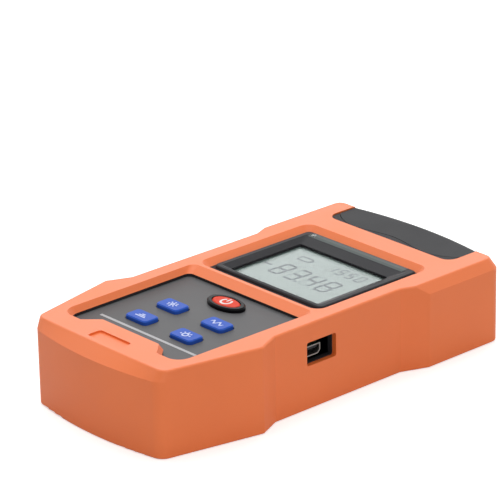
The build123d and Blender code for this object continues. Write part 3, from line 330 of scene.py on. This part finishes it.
crystal_low, crystal_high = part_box("lcd_glass")
figure_z = crystal_high.z + SEGMENT_DEPTH
LARGE_FIGURES = "-83.48"
LARGE_HEIGHT = 0.0095
LARGE_STROKE = 0.00125
LARGE_PITCH = 0.0080
LARGE_CORNER = (-0.0228, 0.0158)
SMALL_FIGURES = "1550"
SMALL_HEIGHT = 0.0050
SMALL_STROKE = 0.0009
SMALL_PITCH = 0.0048
SMALL_CORNER = (-0.0005, 0.0310)
CELL_SIGN_MIDDLE = (-0.0129, 0.0328)
CELL_SIGN_WIDTH = 0.0058
CELL_SIGN_HEIGHT = 0.0030
CELL_SIGN_STROKE = 0.0008
POINT_SIZE = 0.00133
POINT_BACK = 0.00152
lit_bars = []
ghost_bars = []
x, y = LARGE_CORNER
for figure in LARGE_FIGURES:
    if figure == ".":
        lit_bars.append(bar((x - POINT_BACK, y, figure_z), POINT_SIZE, POINT_SIZE, 0))
        continue
    lit_bars += figure_bars(figure, (x, y), LARGE_HEIGHT, LARGE_STROKE, figure_z)
    if figure != "-":
        ghost_bars += figure_bars(
            figure, (x, y), LARGE_HEIGHT, LARGE_STROKE, figure_z, wanted=False)
    x += LARGE_PITCH
x, y = SMALL_CORNER
for figure in SMALL_FIGURES:
    lit_bars += figure_bars(figure, (x, y), SMALL_HEIGHT, SMALL_STROKE, figure_z)
    ghost_bars += figure_bars(figure, (x, y), SMALL_HEIGHT, SMALL_STROKE, figure_z, wanted=False)
    x += SMALL_PITCH
x, y = CELL_SIGN_MIDDLE
lit_bars += [
    bar((x, y + CELL_SIGN_HEIGHT / 2, figure_z), CELL_SIGN_WIDTH, CELL_SIGN_STROKE, 0),
    bar((x, y - CELL_SIGN_HEIGHT / 2, figure_z), CELL_SIGN_WIDTH, CELL_SIGN_STROKE, 0),
    bar((x - CELL_SIGN_WIDTH / 2, y, figure_z), CELL_SIGN_HEIGHT, CELL_SIGN_STROKE, math.pi / 2),
    bar((x + CELL_SIGN_WIDTH / 2, y, figure_z), CELL_SIGN_HEIGHT, CELL_SIGN_STROKE, math.pi / 2),
    bar((x + CELL_SIGN_WIDTH * 0.62, y, figure_z), CELL_SIGN_HEIGHT * 0.5, CELL_SIGN_STROKE, math.pi / 2),
]
segment_ink = moulded("segment_ink", SEGMENT_INK, SEGMENT_INK, 0.5, 0.0004, 0.000002, sheen=0.1)
segment_ghost = moulded(
    "segment_ghost", SEGMENT_GHOST, SEGMENT_GHOST, 0.5, 0.0004, 0.000002, sheen=0.1)
in_place(joined(lit_bars, SEGMENT_DEPTH), "display_reading", "meter", segment_ink)
in_place(joined(ghost_bars, SEGMENT_DEPTH), "display_segments_off", "meter", segment_ghost)


# Display frame
# A frame of glossy dark grey ABS around the lens, with a strip of film on its far side, where
# the printing of such meters goes. The strip is bare here.
FRAME_GREY = (0.022, 0.022, 0.025)
FRAME_GREY_WORN = (0.029, 0.029, 0.032)
STRIP_GREY = (0.060, 0.074, 0.072)
bezel_plastic = moulded(
    "bezel_plastic", FRAME_GREY, FRAME_GREY_WORN, 0.32, 0.0004, 0.000008, sheen=0.05)
coat(bezel_plastic, "display_bezel")

STRIP_WIDTH = 0.0495
STRIP_X = -0.0003
STRIP_FAR = 0.0486
STRIP_FOLD = 0.0466
STRIP_NEAR = 0.0453
STRIP_THICKNESS = 0.00005
SLOPE_OF_FRAME = 0.1765
bezel_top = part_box("display_bezel")[1].z
rows = {
    -1: (STRIP_NEAR, bezel_top - (STRIP_FOLD - STRIP_NEAR) * SLOPE_OF_FRAME),
    0: (STRIP_FOLD, bezel_top),
    1: (STRIP_FAR, bezel_top),
}
bpy.ops.mesh.primitive_grid_add(x_subdivisions=1, y_subdivisions=2, size=1, location=(0, 0, 0))
strip = bpy.context.object
for vertex in strip.data.vertices:
    y, z = rows[round(vertex.co.y * 2)]
    vertex.co = (STRIP_X + vertex.co.x * STRIP_WIDTH, y, z + STRIP_THICKNESS / 2)
strip_film = moulded("strip_film", STRIP_GREY, STRIP_GREY, 0.4, 0.0003, 0.000003, sheen=0.12)
in_place(joined([strip], STRIP_THICKNESS), "display_strip", "meter", strip_film)


# Keypad panel
# A plate of grey polycarbonate film on hard plastic, with a pale line printed across it
# below the keys.
PANEL_GREY = (0.098, 0.098, 0.101)
PANEL_GREY_WORN = (0.108, 0.108, 0.111)
LINE_GREY = (0.42, 0.42, 0.43)
panel_film = moulded("panel_film", PANEL_GREY, PANEL_GREY_WORN, 0.48, 0.0003, 0.00001, sheen=0.12)
coat(panel_film, "keypad_panel")

LINE_LENGTH = 0.0506
LINE_WIDTH = 0.0012
LINE_Y = -0.05415
INK_THICKNESS = 0.00003
panel_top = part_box("keypad_panel")[1].z
bpy.ops.mesh.primitive_plane_add(size=1, location=(0, LINE_Y, panel_top + INK_THICKNESS / 2))
line = bpy.context.object
line.scale = (LINE_LENGTH, LINE_WIDTH, 1)
line_ink = moulded("line_ink", LINE_GREY, LINE_GREY, 0.5, 0.0003, 0.000002)
in_place(joined([line], INK_THICKNESS), "panel_line", "meter", line_ink)


# Power key
# A red silicone key in a ring of glossy black ABS. The standby sign is printed on it in
# white.
RING_BLACK = (0.004, 0.004, 0.005)
RING_BLACK_WORN = (0.006, 0.006, 0.007)
POWER_RED = (0.68, 0.042, 0.014)
POWER_RED_WORN = (0.74, 0.052, 0.018)
PRINT_WHITE = (0.75, 0.70, 0.68)
ring_plastic = moulded(
    "ring_plastic", RING_BLACK, RING_BLACK_WORN, 0.22, 0.0005, 0.000004, sheen=0.05)
power_key_rubber = moulded(
    "power_key_rubber", POWER_RED, POWER_RED_WORN, 0.42, 0.0003, 0.000012, sheen=0.07)
coat(ring_plastic, "power_key_ring")
coat(power_key_rubber, "power_key")


def ring_arc(middle, radius, width, gap_angle=0.0, vertices=48):
    """A flat ring, open at its far side by the gap."""
    bpy.ops.mesh.primitive_circle_add(vertices=vertices, radius=radius + width / 2, location=(0, 0, 0))
    ring = bpy.context.object
    bpy.ops.object.mode_set(mode="EDIT")
    bpy.ops.mesh.select_all(action="DESELECT")
    bpy.ops.object.mode_set(mode="OBJECT")
    for vertex in ring.data.vertices:
        away = abs(math.atan2(vertex.co.x, vertex.co.y))
        vertex.select = away < gap_angle / 2
    bpy.ops.object.mode_set(mode="EDIT")
    if gap_angle:
        bpy.ops.mesh.delete(type="VERT")
    bpy.ops.mesh.select_all(action="SELECT")
    bpy.ops.mesh.extrude_edges_move()
    shrink = (radius - width / 2) / (radius + width / 2)
    bpy.ops.transform.resize(value=(shrink, shrink, 1), center_override=(0, 0, 0))
    bpy.ops.object.mode_set(mode="OBJECT")
    ring.location = middle
    return ring


SIGN_RADIUS = 0.0020
SIGN_STROKE = 0.00085
SIGN_GAP = 1.2
power_low, power_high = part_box("power_key")
sign_x = (power_low.x + power_high.x) / 2
sign_y = (power_low.y + power_high.y) / 2
sign_z = power_high.z + INK_THICKNESS / 2
sign = [
    ring_arc((sign_x, sign_y, sign_z), SIGN_RADIUS, SIGN_STROKE, gap_angle=SIGN_GAP),
    bar((sign_x, sign_y + SIGN_RADIUS * 0.7, sign_z), SIGN_RADIUS * 1.3, SIGN_STROKE, math.pi / 2),
]
print_white = moulded("print_white", PRINT_WHITE, PRINT_WHITE, 0.5, 0.0003, 0.000002)
in_place(joined(sign, INK_THICKNESS), "power_key_print", "power_key", print_white)


# Function keys
# Four blue silicone keys, each moulded with the flange that keeps it in the casing. Their
# signs are printed in pale ink: a burst, a wave, a level and a lamp.
KEY_BLUE = (0.018, 0.085, 0.46)
KEY_BLUE_WORN = (0.025, 0.096, 0.49)
SIGN_PALE = (0.50, 0.56, 0.78)
key_rubber = moulded("key_rubber", KEY_BLUE, KEY_BLUE_WORN, 0.45, 0.0003, 0.000012, sheen=0.14)
sign_pale = moulded("sign_pale", SIGN_PALE, SIGN_PALE, 0.5, 0.0003, 0.000002)
coat(key_rubber, "laser_key", "wavelength_key", "reference_key", "backlight_key")

KEY_STROKE = 0.00068
KEY_SIGN_REACH = 0.0026
WAVE_LENGTH = 0.0060
WAVE_HEIGHT = 0.0018
WAVE_STEPS = 24
LEVEL_PITCH = 0.0009
LAMP_DROP = 0.0004


def burst(middle):
    """Eight short rays around a dot, for the laser."""
    x, y, z = middle
    rays = [ring_arc(middle, KEY_SIGN_REACH * 0.22, KEY_STROKE, vertices=16)]
    for turn in range(8):
        angle = turn * math.pi / 4
        reach = KEY_SIGN_REACH * 0.72
        spot = (x + reach * math.cos(angle), y + reach * 0.8 * math.sin(angle), z)
        rays.append(bar(spot, KEY_SIGN_REACH * 0.42, KEY_STROKE, angle))
    return rays


def wave(middle):
    """Two crests of a wave in one ribbon, for the wavelength."""
    bpy.ops.mesh.primitive_grid_add(x_subdivisions=WAVE_STEPS, y_subdivisions=1, size=1, location=(0, 0, 0))
    ribbon = bpy.context.object
    for vertex in ribbon.data.vertices:
        across = vertex.co.y * KEY_STROKE * 1.4
        vertex.co.y = WAVE_HEIGHT / 2 * math.sin(vertex.co.x * 4 * math.pi) + across
        vertex.co.x *= WAVE_LENGTH
    ribbon.location = middle
    return [ribbon]


def level(middle):
    """Three bars, each shorter than the one before it, for the reference level."""
    x, y, z = middle
    bars = []
    for row, share in enumerate((1.0, 0.66, 0.33)):
        place = (x, y + (row - 1) * LEVEL_PITCH, z)
        bars.append(bar(place, 2 * KEY_SIGN_REACH * share, KEY_STROKE, 0))
    return bars


def lamp(middle):
    """A round lamp with five rays, for the backlight."""
    x, y, z = middle
    y -= LAMP_DROP
    shapes = [ring_arc((x, y, z), KEY_SIGN_REACH * 0.42, KEY_STROKE, vertices=24)]
    for turn in range(5):
        angle = turn * math.pi / 4
        reach = KEY_SIGN_REACH * 0.85
        spot = (x + reach * math.cos(angle), y + reach * 0.85 * math.sin(angle), z)
        shapes.append(bar(spot, KEY_SIGN_REACH * 0.36, KEY_STROKE, angle))
    return shapes


key_signs = {"laser_key": burst, "wavelength_key": wave, "reference_key": level, "backlight_key": lamp}
for key_name, draw in key_signs.items():
    key_low, key_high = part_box(key_name)
    middle = ((key_low.x + key_high.x) / 2, (key_low.y + key_high.y) / 2, key_high.z + INK_THICKNESS / 2)
    in_place(joined(draw(middle), INK_THICKNESS), key_name + "_print", key_name, sign_pale)


# USB socket
# A drawn and tin-plated steel shell around a black tongue, behind the opening in the boot's
# side.
# The shell's colour is darker than bright tin plate would be: painted shade for the inside of the boot's
# opening, over the steel's own grey.
TINNED_STEEL_SHADED = (0.30, 0.28, 0.26)
usb_steel_shaded = metal("usb_steel_shaded", TINNED_STEEL_SHADED, 0.35, 0.0008)
coat(usb_steel_shaded, "usb_socket")


# Batteries
# Three cells with film sleeves over zinc cans, laid head to tail. The sleeves are plain here.
SLEEVE_GREEN = (0.05, 0.16, 0.12)
SLEEVE_GREEN_WORN = (0.06, 0.18, 0.14)
cell_sleeve = moulded("cell_sleeve", SLEEVE_GREEN, SLEEVE_GREEN_WORN, 0.28, 0.0006, 0.000004)
coat(cell_sleeve, "batteries")


# Protective boot
# One moulding of orange silicone rubber, stretched over the casing. Its faces have the fine
# matt grain of the mould, and its colour varies a little where it is handled.
BOOT_ORANGE = (0.78, 0.164, 0.033)
BOOT_ORANGE_WORN = (0.81, 0.176, 0.038)
boot_rubber = moulded(
    "boot_rubber", BOOT_ORANGE, BOOT_ORANGE_WORN, 0.45, 0.00028, 0.00003, blotch_size=0.03, sheen=0.6)
coat(boot_rubber, "protective_boot")


# Dust cap
# A hood of dark grey ABS that turns on two pips between the ears of the rear casing.
CAP_GREY = (0.024, 0.024, 0.026)
CAP_GREY_WORN = (0.030, 0.030, 0.032)
cap_plastic = moulded("cap_plastic", CAP_GREY, CAP_GREY_WORN, 0.5, 0.00035, 0.00003, sheen=0.07)
coat(cap_plastic, "dust_cap")


# Floor, lamps and camera
# A plain white floor that runs out into white light, one broad lamp above, one at the
# camera's right and a weaker one behind the meter.
FLOOR_SIZE = 6.0
FLOOR_WHITE = 0.8
FLOOR_LIFT = 0.5
FLOOR_DROP = 0.00002
WORLD_LEVEL = 0.5
BACKDROP_LEVEL = 1.75
bpy.ops.mesh.primitive_grid_add(
    x_subdivisions=4, y_subdivisions=4, size=FLOOR_SIZE, location=(0, 0, -FLOOR_DROP))
floor = bpy.context.object
floor.name = "floor"
floor_paint = bpy.data.materials.new("floor_paint")
floor_paint.use_nodes = True
tree = floor_paint.node_tree
paint = tree.nodes["Principled BSDF"]
paint.inputs["Base Color"].default_value = (FLOOR_WHITE, FLOOR_WHITE, FLOOR_WHITE, 1)
paint.inputs["Roughness"].default_value = 0.9
paint.inputs["Specular IOR Level"].default_value = 0
floor.data.materials.append(floor_paint)


def strength(tree, seen, mirrored, otherwise):
    """The light that rays from the camera or through clear plastic, mirrored rays and others find."""
    path = tree.nodes.new("ShaderNodeLightPath")
    direct = tree.nodes.new("ShaderNodeMath")
    direct.operation = "MAXIMUM"
    tree.links.new(path.outputs["Is Camera Ray"], direct.inputs[0])
    tree.links.new(path.outputs["Is Transmission Ray"], direct.inputs[1])
    mirror = tree.nodes.new("ShaderNodeMapRange")
    mirror.inputs["To Min"].default_value = otherwise
    mirror.inputs["To Max"].default_value = mirrored
    tree.links.new(path.outputs["Is Glossy Ray"], mirror.inputs["Value"])
    choice = tree.nodes.new("ShaderNodeMapRange")
    choice.inputs["To Max"].default_value = seen
    tree.links.new(direct.outputs["Value"], choice.inputs["Value"])
    tree.links.new(mirror.outputs["Result"], choice.inputs["To Min"])
    return choice.outputs["Result"]


paint.inputs["Emission Color"].default_value = (1, 1, 1, 1)
tree.links.new(strength(tree, FLOOR_LIFT, 0.0, 0.0), paint.inputs["Emission Strength"])

world = bpy.data.worlds.new("studio")
bpy.context.scene.world = world
world.use_nodes = True
tree = world.node_tree
sky = tree.nodes["Background"]
sky.inputs["Color"].default_value = (1, 1, 1, 1)
tree.links.new(strength(tree, 1.0, BACKDROP_LEVEL, WORLD_LEVEL), sky.inputs["Strength"])


def lamp_at(name, place, size, power):
    """A square soft lamp that points at the meter."""
    data = bpy.data.lights.new(name, "AREA")
    data.shape = "SQUARE"
    data.size = size
    data.energy = power
    lamp_object = bpy.data.objects.new(name, data)
    lamp_object.location = place
    lamp_object.rotation_euler = (-Vector(place)).to_track_quat("-Z", "Y").to_euler()
    bpy.context.scene.collection.objects.link(lamp_object)


lamp_at("broad_lamp", (-0.35, 0.25, 1.5), 1.4, 16.0)
lamp_at("side_lamp", (1.6, -0.6, 0.6), 0.9, 5.5)
lamp_at("back_lamp", (-1.3, 1.1, 0.9), 1.2, 2.0)

FOCAL_PIXELS = 3074.27
PHOTO_PIXELS = 500
SENSOR = 36.0
CLIP_NEAR = 0.05
CLIP_FAR = 20
AZIMUTH = math.radians(48.3117)
ELEVATION = math.radians(21.7988)
ROLL = math.radians(-1.1335)
CAMERA_OFFSET = Vector((-0.016442, -0.049785, -1.090288))
MODEL_SHIFT = Vector((0, 0.0292, 0))
backwards = Vector((
    math.sin(AZIMUTH) * math.cos(ELEVATION),
    -math.cos(AZIMUTH) * math.cos(ELEVATION),
    math.sin(ELEVATION),
))
level_right = Vector((math.cos(AZIMUTH), math.sin(AZIMUTH), 0))
level_up = backwards.cross(level_right)
right = level_right * math.cos(ROLL) + level_up * math.sin(ROLL)
up = level_up * math.cos(ROLL) - level_right * math.sin(ROLL)
turn = Matrix((right, up, backwards)).transposed()
camera_data = bpy.data.cameras.new("camera")
camera_data.sensor_width = SENSOR
camera_data.lens = FOCAL_PIXELS / PHOTO_PIXELS * SENSOR
camera_data.clip_start = CLIP_NEAR
camera_data.clip_end = CLIP_FAR
camera = bpy.data.objects.new("camera", camera_data)
bpy.context.scene.collection.objects.link(camera)
camera.matrix_world = Matrix.Translation(-(turn @ CAMERA_OFFSET) - MODEL_SHIFT) @ turn.to_4x4()
bpy.context.scene.camera = camera
bpy.context.scene.view_settings.view_transform = "Standard"
